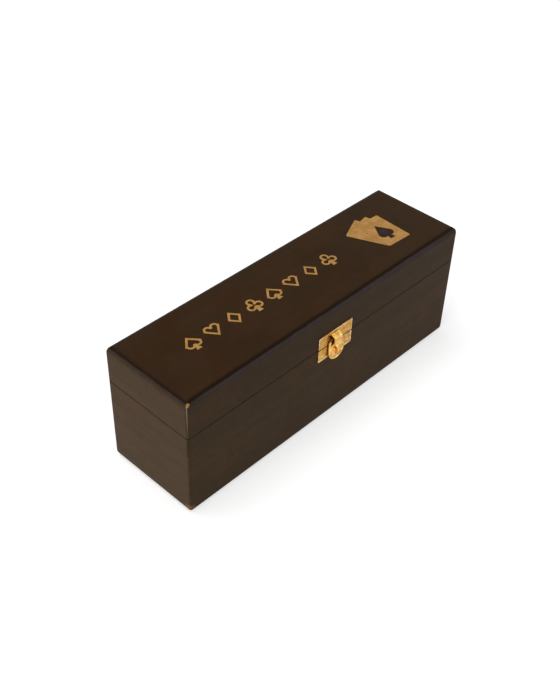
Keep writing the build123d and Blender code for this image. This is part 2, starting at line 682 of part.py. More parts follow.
# The hook: a disc, and an arm that rises on its left and curves over it into the bridge.
slot_middle = (HOOK_DISC_RADIUS + HOOK_INNER_RADIUS) / 2
slot_half = (HOOK_INNER_RADIUS - HOOK_DISC_RADIUS) / 2
pivot_plane = Plane(origin=(0, -half_depth - HOOK_BACK, PIVOT_Z), x_dir=(1, 0, 0), z_dir=(0, -1, 0))
with BuildPart() as clasp_hook:
    with BuildSketch(pivot_plane):
        Circle(HOOK_OUTER_RADIUS)
        with Locations(((HOOK_TIP_X - HOOK_DISC_RADIUS) / 2, HOOK_OUTER_RADIUS / 2)):
            Rectangle(HOOK_TIP_X + HOOK_DISC_RADIUS, HOOK_OUTER_RADIUS, mode=Mode.INTERSECT)
        with BuildLine():
            root = radians(HOOK_ROOT_ANGLE)
            CenterArc((0, 0), HOOK_INNER_RADIUS, 0, HOOK_ROOT_ANGLE)
            RadiusArc(
                (HOOK_INNER_RADIUS * cos(root), HOOK_INNER_RADIUS * sin(root)),
                (HOOK_DISC_RADIUS * cos(root), HOOK_DISC_RADIUS * sin(root)),
                -slot_half,
            )
            Line((HOOK_DISC_RADIUS * cos(root), HOOK_DISC_RADIUS * sin(root)), (0, 0))
            Line((0, 0), (HOOK_INNER_RADIUS, 0))
        make_face(mode=Mode.SUBTRACT)
        Circle(HOOK_DISC_RADIUS)
    extrude(amount=HOOK_THICKNESS)
    tip_edges = clasp_hook.edges().filter_by(Axis.Y).filter_by(lambda edge: edge.center().X > 0)
    fillet(tip_edges, 0.8)
    with BuildSketch(pivot_plane.offset(HOOK_THICKNESS)):
        Circle(HOOK_DISC_RADIUS)
        Circle(HOOK_DISC_RADIUS - HOOK_RIM_WIDTH, mode=Mode.SUBTRACT)
    extrude(amount=HOOK_RIM_HEIGHT)
    chamfer(clasp_hook.faces().sort_by(Axis.Y)[0].edges(), HOOK_RIM_HEIGHT * 0.6)
    with BuildSketch(pivot_plane):
        Circle(PIVOT_RADIUS)
    extrude(amount=HOOK_THICKNESS, mode=Mode.SUBTRACT)
keep(clasp_hook, "clasp_hook")

# Thumb fin on its pivot, which turns in the lower plate and is peened behind it.
fin_foot = HOOK_BACK + HOOK_THICKNESS
fin_low = (-half_depth - fin_foot, PIVOT_Z - FIN_LENGTH / 2)
fin_high = (-half_depth - fin_foot, PIVOT_Z + FIN_LENGTH / 2)
with BuildPart() as clasp_knob:
    with BuildSketch(Plane.YZ.offset(0)):
        with BuildLine():
            Line(fin_low, fin_high)
            ThreePointArc(fin_high, (-half_depth - FIN_OUT, PIVOT_Z), fin_low)
        make_face()
    extrude(amount=FIN_WIDTH / 2, both=True)
    with BuildSketch(front_face.offset(fin_foot)):
        with Locations((0, PIVOT_Z)):
            Circle(1.7 * FIN_WIDTH)
    extrude(amount=0.5)
    with BuildSketch(front_face.offset(-0.1 - PIVOT_TAIL_DEPTH)):
        with Locations((0, PIVOT_Z)):
            Circle(PIVOT_RADIUS)
    extrude(amount=0.1 + PIVOT_TAIL_DEPTH + fin_foot)
    with BuildSketch(front_face.offset(-0.1 - PIVOT_TAIL_DEPTH)):
        with Locations((0, PIVOT_Z)):
            Circle(PIVOT_TAIL_RADIUS)
    extrude(amount=PIVOT_TAIL_DEPTH)
keep(clasp_knob, "clasp_knob")


def clasp_pins(body):
    """Two pins with low conical heads, which hold a plate of the clasp."""
    with BuildPart() as pins:
        for side in (-1, 1):
            x = side * CLASP_PIN_X
            wood_face = (x, -half_depth, clasp_pin_z[body])
            with BuildSketch(Plane(origin=wood_face, x_dir=(1, 0, 0), z_dir=(0, 0, 1))):
                with BuildLine():
                    Polyline(
                        (0, -PLATE_THICKNESS - CLASP_PIN_HEAD_HEIGHT),
                        (CLASP_PIN_RADIUS, -PLATE_THICKNESS - CLASP_PIN_HEAD_HEIGHT),
                        (CLASP_PIN_HEAD_RADIUS, -PLATE_THICKNESS),
                        (CLASP_PIN_RADIUS, -PLATE_THICKNESS),
                        (CLASP_PIN_RADIUS, CLASP_PIN_LENGTH),
                        (0, CLASP_PIN_LENGTH),
                        close=True,
                    )
                make_face()
            revolve(axis=Axis((x, 0, clasp_pin_z[body]), (0, 1, 0)))
    return pins


clasp_pins_base = clasp_pins("base")
keep(clasp_pins_base, "clasp_pins_base")
clasp_pins_lid = clasp_pins("lid")
keep(clasp_pins_lid, "clasp_pins_lid")
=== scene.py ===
"""Looks of a lidded cribbage box with a drawer: dark lacquered wood, brass clasp, inlaid lid."""

import json

import bpy
import numpy as np
from mathutils import Matrix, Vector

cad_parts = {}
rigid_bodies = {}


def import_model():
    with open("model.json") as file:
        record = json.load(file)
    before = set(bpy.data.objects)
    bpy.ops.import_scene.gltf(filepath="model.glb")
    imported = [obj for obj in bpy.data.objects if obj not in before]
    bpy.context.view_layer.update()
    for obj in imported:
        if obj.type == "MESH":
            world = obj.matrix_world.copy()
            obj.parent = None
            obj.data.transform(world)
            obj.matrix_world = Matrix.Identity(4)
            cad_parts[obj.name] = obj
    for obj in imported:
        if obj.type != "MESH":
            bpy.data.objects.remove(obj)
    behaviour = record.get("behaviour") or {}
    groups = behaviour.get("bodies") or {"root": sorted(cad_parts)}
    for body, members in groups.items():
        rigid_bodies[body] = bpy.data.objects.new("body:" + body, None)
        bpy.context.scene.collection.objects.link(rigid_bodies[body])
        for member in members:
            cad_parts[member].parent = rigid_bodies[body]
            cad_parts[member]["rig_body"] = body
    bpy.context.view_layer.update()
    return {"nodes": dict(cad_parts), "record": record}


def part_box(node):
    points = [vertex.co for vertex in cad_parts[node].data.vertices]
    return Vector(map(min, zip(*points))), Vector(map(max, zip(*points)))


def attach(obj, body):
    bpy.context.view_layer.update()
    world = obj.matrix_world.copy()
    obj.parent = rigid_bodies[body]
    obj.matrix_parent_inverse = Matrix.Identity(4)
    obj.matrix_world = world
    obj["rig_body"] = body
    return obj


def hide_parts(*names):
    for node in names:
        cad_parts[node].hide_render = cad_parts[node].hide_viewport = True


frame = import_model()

# Lengths are in metres, unless a comment says otherwise.
SLOT_OF = {part["node"]: part["material_slot"] for part in frame["record"]["subparts"]}
HALF = np.array([0.140, 0.0395, 0.051])  # half the box: length, depth, height
LID_TOP = 2 * HALF[2]
SEAM = 0.072  # height of the line between base and lid
BOARD_TOP = 0.070  # height of the playing board's top
KNOB_AXIS = np.array([0.140, 0.0, 0.0315])  # where the knob stands on the drawer's front
SPADE = np.array([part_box("inlay_spade")[0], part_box("inlay_spade")[1]])
PLATE_LOW = np.array(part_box("clasp_lower_plate")[0])
PLATE_HIGH = np.array(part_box("clasp_upper_plate")[1])
PLATE_THICK = 0.0008  # the clasp's plates

# ---------------------------------------------------------------- shader building

MIX_AMOUNT, MIX_FIRST, MIX_SECOND, MIX_RESULT = 0, 6, 7, 2  # sockets of a Mix node for colours


class Shading:
    """Adds shader nodes to one tree. An input that is a socket is linked, any other is set."""

    def __init__(self, tree):
        self.tree = tree

    def give(self, socket, value):
        if isinstance(value, bpy.types.NodeSocket):
            self.tree.links.new(value, socket)
        else:
            socket.default_value = value

    def add(self, kind, inputs=None, **settings):
        made = self.tree.nodes.new(kind)
        for key, value in settings.items():
            setattr(made, key, value)
        for key, value in (inputs or {}).items():
            self.give(made.inputs[key], value)
        return made

    def math(self, operation, *values, clamp=False):
        made = self.add("ShaderNodeMath", dict(enumerate(values)), operation=operation)
        made.use_clamp = clamp
        return made.outputs[0]

    def times(self, *values):
        """The product of the values, taken from left to right."""
        product = values[0]
        for value in values[1:]:
            product = self.math("MULTIPLY", product, value)
        return product

    def vector(self, operation, *values):
        made = self.add("ShaderNodeVectorMath", dict(enumerate(values)), operation=operation)
        return made.outputs["Value" if operation == "LENGTH" else "Vector"]

    def stretch(self, position, scale):
        """Position times a scale for each axis."""
        return self.vector("MULTIPLY", position, scale)

    def step(self, value, low, high, to_low=0.0, to_high=1.0):
        """Smooth step from to_low to to_high while value goes from low to high."""
        keys = {"Value": value, "From Min": low, "From Max": high, "To Min": to_low, "To Max": to_high}
        return self.add("ShaderNodeMapRange", keys, interpolation_type="SMOOTHSTEP").outputs["Result"]

    def fade(self, value, low, high):
        """Smooth step from 1 to 0 while value goes from low to high."""
        return self.step(value, low, high, 1.0, 0.0)

    def mix(self, amount, first, second):
        """Colour between first and second."""
        made = self.add("ShaderNodeMix", data_type="RGBA")
        self.give(made.inputs[MIX_AMOUNT], amount)
        for index, colour in ((MIX_FIRST, first), (MIX_SECOND, second)):
            plain = not isinstance(colour, bpy.types.NodeSocket)
            self.give(made.inputs[index], (*colour, 1.0) if plain else colour)
        return made.outputs[MIX_RESULT]

    def layer(self, below, mask, share, tint):
        """Colour below, covered by a share of the tint where the mask is 1."""
        return self.mix(self.times(mask, share), below, tint)

    def noise(self, position, scale, detail=2.0, roughness=0.5, distortion=0.0):
        keys = {"Vector": position, "Scale": scale, "Detail": detail, "Roughness": roughness}
        return self.add("ShaderNodeTexNoise", {**keys, "Distortion": distortion}).outputs["Fac"]

    def split(self, position):
        """The X, Y and Z of a position."""
        return self.add("ShaderNodeSeparateXYZ", {0: position}).outputs

    def use(self, group, **inputs):
        """The outputs of a node group. An underscore stands for a space in an input's name."""
        made = self.add("ShaderNodeGroup")
        made.node_tree = group
        for key, value in inputs.items():
            self.give(made.inputs[key.replace("_", " ")], value)
        return made.outputs


def effect(name, inputs, outputs, build):
    """A shader node group. inputs maps names to Float or Vector, outputs names the masks that it gives,
    and build(shading, sockets) makes them."""
    tree = bpy.data.node_groups.new(name, "ShaderNodeTree")
    for direction, sockets in (("INPUT", inputs), ("OUTPUT", dict.fromkeys(outputs, "Float"))):
        for socket, kind in sockets.items():
            tree.interface.new_socket(socket, in_out=direction, socket_type=f"NodeSocket{kind}")
    shading = Shading(tree)
    start, end = shading.add("NodeGroupInput"), shading.add("NodeGroupOutput")
    for socket, value in build(shading, start.outputs).items():
        tree.links.new(value, end.inputs[socket])
    return tree


BAND_SLIMNESS = 0.035  # width of a band of grain by its length
FIBRE_SCALE = (55.0, 1500.0, 1500.0)  # streaks in a metre, along and across the grain
PORE_SCALE = (170.0, 2100.0, 2100.0)


def grain_build(s, given):
    """Grain along X. Figure: broad wavy bands one Spacing apart. Fibre: fine streaks.
    Pores: short dark dashes."""
    place, spacing = given["Position"], given["Spacing"]
    across = s.math("DIVIDE", 1.0, spacing)
    along = s.math("DIVIDE", BAND_SLIMNESS, spacing)
    scale = s.add("ShaderNodeCombineXYZ", {"X": along, "Y": across, "Z": across}).outputs[0]
    bands = s.noise(s.stretch(place, scale), 1.0, 4.0, 0.55, 0.7)
    fibre = s.noise(s.stretch(place, FIBRE_SCALE), 1.0, 3.0, 0.6)
    dashes = s.add("ShaderNodeTexVoronoi", {"Vector": s.stretch(place, PORE_SCALE), "Scale": 1.0})
    pores = s.fade(dashes.outputs["Distance"], 0.12, 0.34)
    return {"Figure": s.step(bands, 0.34, 0.66), "Fibre": s.step(fibre, 0.3, 0.7), "Pores": pores}


GRAIN = effect(
    "wood_grain", {"Position": "Vector", "Spacing": "Float"}, ("Figure", "Fibre", "Pores"), grain_build
)

RUB_SCALE = 240.0  # cells of its noise in a metre
RUB_RAGGED = 3.4  # how many reaches the noise moves the end of the wear
CORNER_REACH = 2.2  # reach from a corner by reach from an edge


def rub_and_highlight_build(s, given):
    """Wear on a box, and a painted highlight along the edges of the clasp's plates. Edge: near its edges, by
    the middle of the three distances to its faces. Corner: near its corners, by the largest of them. Both are
    uneven."""
    offset = s.vector("ABSOLUTE", s.vector("SUBTRACT", given["Position"], given["Centre"]))
    split = s.split(s.vector("SUBTRACT", offset, given["Half size"]))
    low, high = s.math("MINIMUM", split[0], split[1]), s.math("MAXIMUM", split[0], split[1])
    middle = s.math("MAXIMUM", low, s.math("MINIMUM", high, split[2]))
    least = s.math("MINIMUM", low, split[2])
    uneven = s.math("SUBTRACT", s.noise(given["Position"], RUB_SCALE, 5.0, 0.7), 0.5)
    uneven = s.times(uneven, given["Reach"], RUB_RAGGED)
    reach = s.times(given["Reach"], -1.0)
    edge = s.step(s.math("ADD", middle, uneven), reach, 0.0)
    return {"Edge": edge, "Corner": s.step(s.math("ADD", least, uneven), s.times(reach, CORNER_REACH), 0.0)}


RUB_AND_HIGHLIGHT = effect(
    "edge_rub_and_highlight",
    {"Position": "Vector", "Centre": "Vector", "Half size": "Vector", "Reach": "Float"},
    ("Edge", "Corner"),
    rub_and_highlight_build,
)

DARK_LINE_STARTS, DARK_LINE_ENDS = (0.0012, 0.0023), (0.0024, 0.0054)  # painted dark reflection line: in from the sides, on the top
SHEEN_IN, SHEEN_DOWN = (0.0011, 0.0021), (0.0018, 0.0068)  # painted sheen: in from the sides, and below the top
SHEEN_AT_ENDS = (0.0008, 0.0300, 0.45, 1.0)  # painted sheen: weaker near the ends
SHADE_DOWN = (0.016, 0.062)  # below the top
SHADE_AT_ENDS = (0.0005, 0.0030, 1.0, 0.3)  # weaker on the ends
RIDGE_DEPTH = (0.0008, 0.0014)  # of a rounding's middle behind its faces
UPRIGHT_FADE = (0.0020, 0.0340)  # below the top
LEFT_EDGE = (0.004 - HALF[0], 0.006 - HALF[0])


def brim_build(s, given):
    """Tone and painted light along the lid's upper edge.

    Top: the top face, redder than the sides. Shade: darker high on the sides, less on the ends. Painted dark
    line:
    a painted dark reflection on the top, just inside the rounding. Painted sheen: a pale painted sheen on the
    sides, just below it. Painted highlights: painted highlight lines down the lid's upright corners and along
    its left upper edge."""
    split = s.split(given["Position"])
    behind_end = s.math("SUBTRACT", HALF[0], s.math("ABSOLUTE", split[0]))
    behind_side = s.math("SUBTRACT", HALF[1], s.math("ABSOLUTE", split[1]))
    below = s.math("SUBTRACT", LID_TOP, split[2])
    uneven = s.math("SUBTRACT", s.noise(s.stretch(given["Position"], (60.0, 60.0, 60.0)), 1.0, 4.0, 0.6), 0.5)
    inward = s.math("ADD", s.math("MINIMUM", behind_end, behind_side), s.times(uneven, 0.0012))
    under = s.math("ADD", below, s.times(uneven, 0.0035))

    def ridge(first, second, width):
        """Middle of the rounding between two faces, where the depths behind both are equal and small."""
        line = s.fade(s.math("ABSOLUTE", s.math("SUBTRACT", first, second)), 0.0002, width)
        return s.times(line, s.fade(s.math("MAXIMUM", first, second), *RIDGE_DEPTH))

    # painted highlight lines down the upright corners and along the left upper edge
    upright = s.times(ridge(behind_end, behind_side, 0.0007), s.fade(below, *UPRIGHT_FADE))
    left = s.times(ridge(behind_end, below, 0.0008), s.step(uneven, -0.12, 0.10, 0.1, 0.6))
    left = s.times(left, s.fade(split[0], *LEFT_EDGE))
    top = s.fade(below, 0.0003, 0.0012)
    shade = s.times(s.fade(below, *SHADE_DOWN), s.math("SUBTRACT", 1.0, top))
    painted_sheen = s.times(s.fade(inward, *SHEEN_IN), s.fade(under, *SHEEN_DOWN))
    return {
        "Top": top,
        "Shade": s.times(shade, s.step(behind_side, *SHADE_AT_ENDS)),
        "Polish": s.times(s.fade(inward, *DARK_LINE_ENDS), s.step(inward, *DARK_LINE_STARTS)),
        "Bloom": s.times(painted_sheen, s.step(behind_end, *SHEEN_AT_ENDS)),
        "Thin": s.math("MAXIMUM", upright, left),
    }


BRIM = effect("brim_tone_and_painted_light", {"Position": "Vector"}, ("Top", "Shade", "Polish", "Bloom", "Thin"), brim_build)


def spot_build(s, given):
    """A ragged patch of one Size round a Place, narrower along an axis with more Stretch."""
    away = s.vector("MULTIPLY", s.vector("SUBTRACT", given["Position"], given["Place"]), given["Stretch"])
    ragged = s.math("SUBTRACT", s.noise(given["Position"], 620.0, 4.0, 0.65), 0.5)
    reach = s.math("DIVIDE", s.vector("LENGTH", away), given["Size"])
    return {"Spot": s.fade(s.math("ADD", reach, s.times(ragged, 1.6)), 0.72, 1.12)}


SPOT = effect(
    "worn_spot",
    {"Position": "Vector", "Place": "Vector", "Stretch": "Vector", "Size": "Float"},
    ("Spot",),
    spot_build,
)
SCRATCH_SLANTS = ((0.5, 900.0), (-0.9, 700.0))  # angle, and scratches in a metre


def handling_build(s, given):
    """Smudge: soft cloudy patches. Scratches: thin lines at two slants."""
    place = given["Position"]
    lines = []
    for angle, scale in SCRATCH_SLANTS:
        slanted = s.add("ShaderNodeMapping", {"Vector": place, "Rotation": (0.3, 0.2, angle)}).outputs[0]
        streak = s.noise(s.stretch(slanted, (22.0, scale, scale)), 1.0, 1.0, 0.5)
        lines.append(s.step(streak, 0.69, 0.76))
    smudge = s.step(s.noise(place, 38.0, 3.0, 0.6), 0.35, 0.7)
    return {"Smudge": smudge, "Scratches": s.math("MAXIMUM", *lines)}


HANDLING = effect("handling_marks", {"Position": "Vector"}, ("Smudge", "Scratches"), handling_build)


def spot(s, position, place, stretch, size):
    return s.use(SPOT, Position=position, Place=place, Stretch=stretch, Size=size)["Spot"]


def new_material(name):
    """An empty material with its shader, and the Object position of each point."""
    material = bpy.data.materials.new(name)
    material.use_nodes = True
    tree = material.node_tree
    shader = tree.nodes["Principled BSDF"]
    s = Shading(tree)
    return material, s, shader, s.add("ShaderNodeTexCoord").outputs["Object"]


def finish_material(s, shader, colour, roughness, height, bump_distance, bump_strength=1.0, **fixed):
    """Links colour, roughness and relief to the shader and sets its plain values."""
    s.tree.links.new(colour, shader.inputs["Base Color"])
    s.tree.links.new(roughness, shader.inputs["Roughness"])
    bump = s.add("ShaderNodeBump", {"Height": height, "Distance": bump_distance, "Strength": bump_strength})
    s.tree.links.new(bump.outputs["Normal"], shader.inputs["Normal"])
    for key, value in fixed.items():
        shader.inputs[key.replace("_", " ")].default_value = value


def darker(colour, share):
    return tuple(share * value for value in colour)


# ---------------------------------------------------------------- materials

GRAIN_TURN = {"x": (0.0, 0.0, 0.0), "y": (0.0, 0.0, np.pi / 2), "z": (0.0, np.pi / 2, 0.0)}
LACQUER = {  # dark and light bands of each grain direction; the y bands are greyer and lighter, a painted sheen
    "x": ((0.0300, 0.0172, 0.0042), (0.0392, 0.0230, 0.0066)),
    "y": ((0.0345, 0.0228, 0.0104), (0.0425, 0.0294, 0.0146)),
}
LAYERS = {  # share and tint of each layer of the lacquer
    "fibre": (0.16, (0.020, 0.0115, 0.0060)),
    "top": (0.60, (0.0530, 0.0212, 0.0070)),
    "shade": (0.42, (0.0105, 0.0058, 0.0012)),
    "red patches": (0.34, (0.062, 0.0210, 0.0085)),
    "smudges": (0.20, (0.046, 0.036, 0.021)),
    "dark patches": (0.30, (0.020, 0.0118, 0.0056)),
    "rubbed": (1.0, (0.190, 0.098, 0.045)),
    # a painted dark reflection line on the top, just inside the rounding
    "painted dark line": (0.80, (0.0110, 0.0050, 0.0032)),
    # a pale painted sheen on the sides, just below the top
    "painted sheen": (0.75, (0.0560, 0.0425, 0.0430)),
    # painted highlight lines on the lid's upright corners and left upper edge
    "painted highlight lines": (0.80, (0.230, 0.190, 0.150)),
    "worn low": (0.75, (0.185, 0.085, 0.034)),
    "chip": (1.0, (0.420, 0.190, 0.058)),
    # a painted glint by the chip
    "painted glint": (1.0, (0.720, 0.640, 0.500)),
}
CORNER_SPOTS = {  # place, stretch and size of the marks at the left front corner: wear, a chip of bare wood and a painted glint
    "worn low": ((-HALF[0] + 0.0010, -HALF[1] + 0.0010, 0.0040), (1.0, 0.55, 0.8), 0.0034),
    "chip": ((-HALF[0] + 0.0022, -HALF[1] + 0.0012, LID_TOP - 0.0004), (1.15, 1.6, 0.45), 0.0017),
    "painted glint": ((-HALF[0] + 0.0006, -HALF[1] + 0.0009, LID_TOP - 0.0018), (1.0, 1.0, 0.5), 0.0007),
}


def lacquered_wood(grain):
    """Dark satin lacquer over open-grained wood, rubbed at the edges and chipped at one corner of the lid. The
    lid's upper edge has a painted dark reflection line, a painted sheen, painted highlight lines and a painted
    glint.
    The end boards, with their grain across the box, are a little greyer and lighter: a painted sheen."""
    material, s, shader, place = new_material(f"lacquered_wood_{grain}")
    grain_place = s.add("ShaderNodeMapping", {"Vector": place, "Rotation": GRAIN_TURN[grain]}).outputs[0]
    wood = s.use(GRAIN, Position=grain_place, Spacing=0.0075)
    marks = s.use(HANDLING, Position=place)
    brim = s.use(BRIM, Position=place)
    box = s.use(RUB_AND_HIGHLIGHT, Position=place, Centre=(0.0, 0.0, HALF[2]), Half_size=tuple(HALF), Reach=0.0016)
    seam = s.use(RUB_AND_HIGHLIGHT, Position=place, Centre=(0.0, 0.0, SEAM), Half_size=(*HALF[:2], 0.0), Reach=0.0007)
    rubbed = s.math("MAXIMUM", s.times(box["Edge"], 0.07), s.times(box["Corner"], 0.42))
    rubbed = s.math("MAXIMUM", rubbed, s.times(seam["Edge"], 0.12))
    masks = {  # from the lowest layer to the highest
        "fibre": wood["Fibre"],
        "top": brim["Top"],
        "shade": brim["Shade"],
        "red patches": s.step(s.noise(s.stretch(grain_place, (14.0, 30.0, 30.0)), 1.0, 4.0, 0.65), 0.48, 0.70),
        "smudges": marks["Smudge"],
        "dark patches": s.step(s.noise(place, 24.0, 5.0, 0.65), 0.46, 0.68),
        "rubbed": rubbed,
        "painted dark line": brim["Polish"],
        "painted sheen": brim["Bloom"],
        "painted highlight lines": brim["Thin"],
        **{name: spot(s, place, *values) for name, values in CORNER_SPOTS.items()},
    }
    colour = s.mix(wood["Figure"], *LACQUER[grain])
    for name, mask in masks.items():
        colour = s.layer(colour, mask, *LAYERS[name])
    bare = s.math("MAXIMUM", masks["chip"], s.math("MAXIMUM", s.times(masks["worn low"], 0.6), rubbed))
    roughness = s.step(marks["Smudge"], 0.0, 1.0, 0.42, 0.49)
    roughness = s.math("ADD", roughness, s.times(bare, 0.3), clamp=True)
    height = s.math("SUBTRACT", s.times(wood["Fibre"], 0.35), s.times(wood["Pores"], 0.5))
    height = s.math("SUBTRACT", height, s.times(marks["Scratches"], 0.35))
    height = s.math("SUBTRACT", height, s.times(masks["chip"], 3.0))
    finish_material(
        s, shader, colour, roughness, height, bump_distance=0.00009, bump_strength=0.7,
        Specular_IOR_Level=0.03, Coat_Weight=0.035, Coat_Roughness=0.24,
    )
    return material


def plain_wood(name, grain, dark, light, spacing, roughness, gloss, fibre=0.4, pores=0.5, detail=None):
    """Bare or oiled wood: bands between two colours, dark pores and a little relief. fibre and pores are
    the shares of these marks, and detail(shading, place, colour) adds to the colour."""
    material, s, shader, place = new_material(f"{name}_{grain}")
    grain_place = s.add("ShaderNodeMapping", {"Vector": place, "Rotation": GRAIN_TURN[grain]}).outputs[0]
    wood = s.use(GRAIN, Position=grain_place, Spacing=spacing)
    marks = s.use(HANDLING, Position=place)
    deep = darker(dark, 0.55)
    colour = s.mix(wood["Figure"], dark, light)
    colour = s.layer(colour, wood["Fibre"], fibre, dark)
    colour = s.layer(colour, wood["Pores"], pores, deep)
    colour = s.layer(colour, marks["Smudge"], 0.18, deep)
    if detail:
        colour = detail(s, place, colour)
    height = s.math("SUBTRACT", s.times(wood["Fibre"], 0.4), wood["Pores"])
    rough = s.step(marks["Smudge"], 0.0, 1.0, roughness, roughness + 0.12)
    finish_material(
        s, shader, colour, rough, height, bump_distance=0.00008, bump_strength=0.8, Specular_IOR_Level=gloss
    )
    return material


BOARD_DARK, BOARD_LIGHT = (0.125, 0.050, 0.022), (0.300, 0.140, 0.062)
RIM_DARK = darker(darker(BOARD_DARK, 0.55), 0.5)
SPADE_RIM = (0.0310, 0.0095, 0.0010)


def worn_rims(s, place, colour):
    """Dark rims round the holes of the playing board, from the board's own attribute."""
    rim = s.add("ShaderNodeAttribute", attribute_name="rim_wear").outputs["Fac"]
    return s.layer(colour, rim, 0.6, RIM_DARK)


def brown_rim(s, place, colour):
    """The spade turns from grey to brown away from its middle."""
    middle = (SPADE[0] + SPADE[1]) / 2
    away = s.vector("LENGTH", s.stretch(s.vector("SUBTRACT", place, tuple(middle)), (0.85, 1.0, 1.0)))
    return s.mix(s.step(away, 0.0010, 0.0038, 0.0, 0.92), colour, SPADE_RIM)


def brass(name, dark, light, roughness, tarnish, cloud_scale, relief, detail):
    """Yellow metal with cloudy tarnish, small pits and fine scratches. detail(shading, place, colour) adds
    to the colour."""
    material, s, shader, place = new_material(name)
    marks = s.use(HANDLING, Position=place)
    cloud = s.step(s.noise(place, cloud_scale, 4.0, 0.6), 0.35, 0.68)
    pits = s.step(s.noise(place, 2400.0, 2.0, 0.6), 0.63, 0.74)
    stain = s.step(s.noise(place, 0.55 * cloud_scale, 5.0, 0.7), 0.55, 0.80)
    colour = s.mix(cloud, dark, light)
    colour = s.layer(colour, stain, tarnish, darker(dark, 0.38))
    colour = s.layer(colour, pits, 0.25, darker(dark, 0.4))
    colour = detail(s, place, colour)
    rough = s.math("ADD", s.step(cloud, 0.0, 1.0, roughness + 0.10, roughness), s.times(stain, 0.15))
    height = s.math("ADD", s.times(s.noise(place, 900.0, 3.0, 0.6), relief), s.times(pits, -0.8))
    height = s.math("SUBTRACT", height, s.times(marks["Scratches"], 0.6))
    finish_material(s, shader, colour, rough, height, bump_distance=0.00006, bump_strength=0.8, Metallic=1.0)
    return material


SHEET_WARM, SHEET_GREEN = (0.66, 0.300, 0.105), (0.50, 0.315, 0.050)
SHEET_RUST, RUST_SPOT = (0.50, 0.210, 0.095), ((0.0781, 0.0107, 0.1020), (0.8, 1.0, 1.0), 0.0016)
SHEET_PIT, PIT_SPOT = (0.160, 0.060, 0.018), ((0.0830, 0.0033, 0.1020), (1.0, 1.0, 1.0), 0.0007)


def sheet_patches(s, place, colour):
    """Warm and greenish patches on the inlays, and one rusty spot and one pit on the cards."""
    warm = s.step(s.noise(place, 210.0, 3.0, 0.6), 0.48, 0.66)
    green = s.step(s.noise(s.stretch(place, (1.0, 1.3, 1.0)), 260.0, 3.0, 0.6), 0.50, 0.70)
    colour = s.layer(colour, warm, 0.45, SHEET_WARM)
    colour = s.layer(colour, green, 0.35, SHEET_GREEN)
    colour = s.layer(colour, spot(s, place, *RUST_SPOT), 0.5, SHEET_RUST)
    return s.layer(colour, spot(s, place, *PIT_SPOT), 0.8, SHEET_PIT)


PLATE_TINT = (0.72, 0.63, 0.42)
PAINTED_RIM_HIGHLIGHT, GAP_DIRT = (0.98, 0.78, 0.50), (0.09, 0.035, 0.012)


def plate_wear(s, place, colour):
    """Deeper yellow on all brass but the hook and the bridge, which stand before the clasp's plates. The
    plates get a painted highlight along their outer edges and are dirty along the gap between them."""
    centre, half = (PLATE_LOW + PLATE_HIGH) / 2, (PLATE_HIGH - PLATE_LOW) / 2
    split = s.split(place)
    plate_face = -HALF[1] - PLATE_THICK
    flat = s.step(split[1], plate_face - 0.0002, plate_face - 0.0001)
    colour = s.mix(flat, colour, s.vector("MULTIPLY", colour, PLATE_TINT))
    flat = s.times(flat, s.fade(split[1], -HALF[1] + 0.0005, -HALF[1] + 0.0015))
    # painted highlight along the plates' outer edges
    rim = s.use(RUB_AND_HIGHLIGHT, Position=place, Centre=tuple(centre), Half_size=tuple(half), Reach=0.0009)["Edge"]
    colour = s.layer(colour, s.times(rim, flat), 0.9, PAINTED_RIM_HIGHLIGHT)
    gap = s.fade(s.math("ABSOLUTE", s.math("SUBTRACT", split[2], SEAM)), 0.0002, 0.0008)
    return s.layer(colour, gap, s.times(flat, 0.85), GAP_DIRT)


def steel():
    """Plain grey metal with fine turning lines."""
    material, s, shader, place = new_material("plain_steel")
    lines = s.noise(s.stretch(place, (900.0, 5200.0, 5200.0)), 1.0, 2.0, 0.6)
    colour = s.mix(lines, (0.34, 0.34, 0.345), (0.60, 0.60, 0.61))
    rough = s.step(lines, 0.3, 0.7, 0.28, 0.44)
    finish_material(s, shader, colour, rough, lines, bump_distance=0.00003, bump_strength=0.8, Metallic=1.0)
    return material


def joint_dirt():
    """Dark glue and polish left in the joint round an inlay."""
    material, s, shader, place = new_material("joint_dirt")
    cloud = s.noise(place, 900.0, 3.0, 0.6)
    colour = s.mix(cloud, (0.010, 0.006, 0.003), (0.030, 0.017, 0.008))
    rough = s.step(cloud, 0.3, 0.7, 0.5, 0.7)
    finish_material(s, shader, colour, rough, cloud, bump_distance=0.00003, Specular_IOR_Level=0.1)
    return material


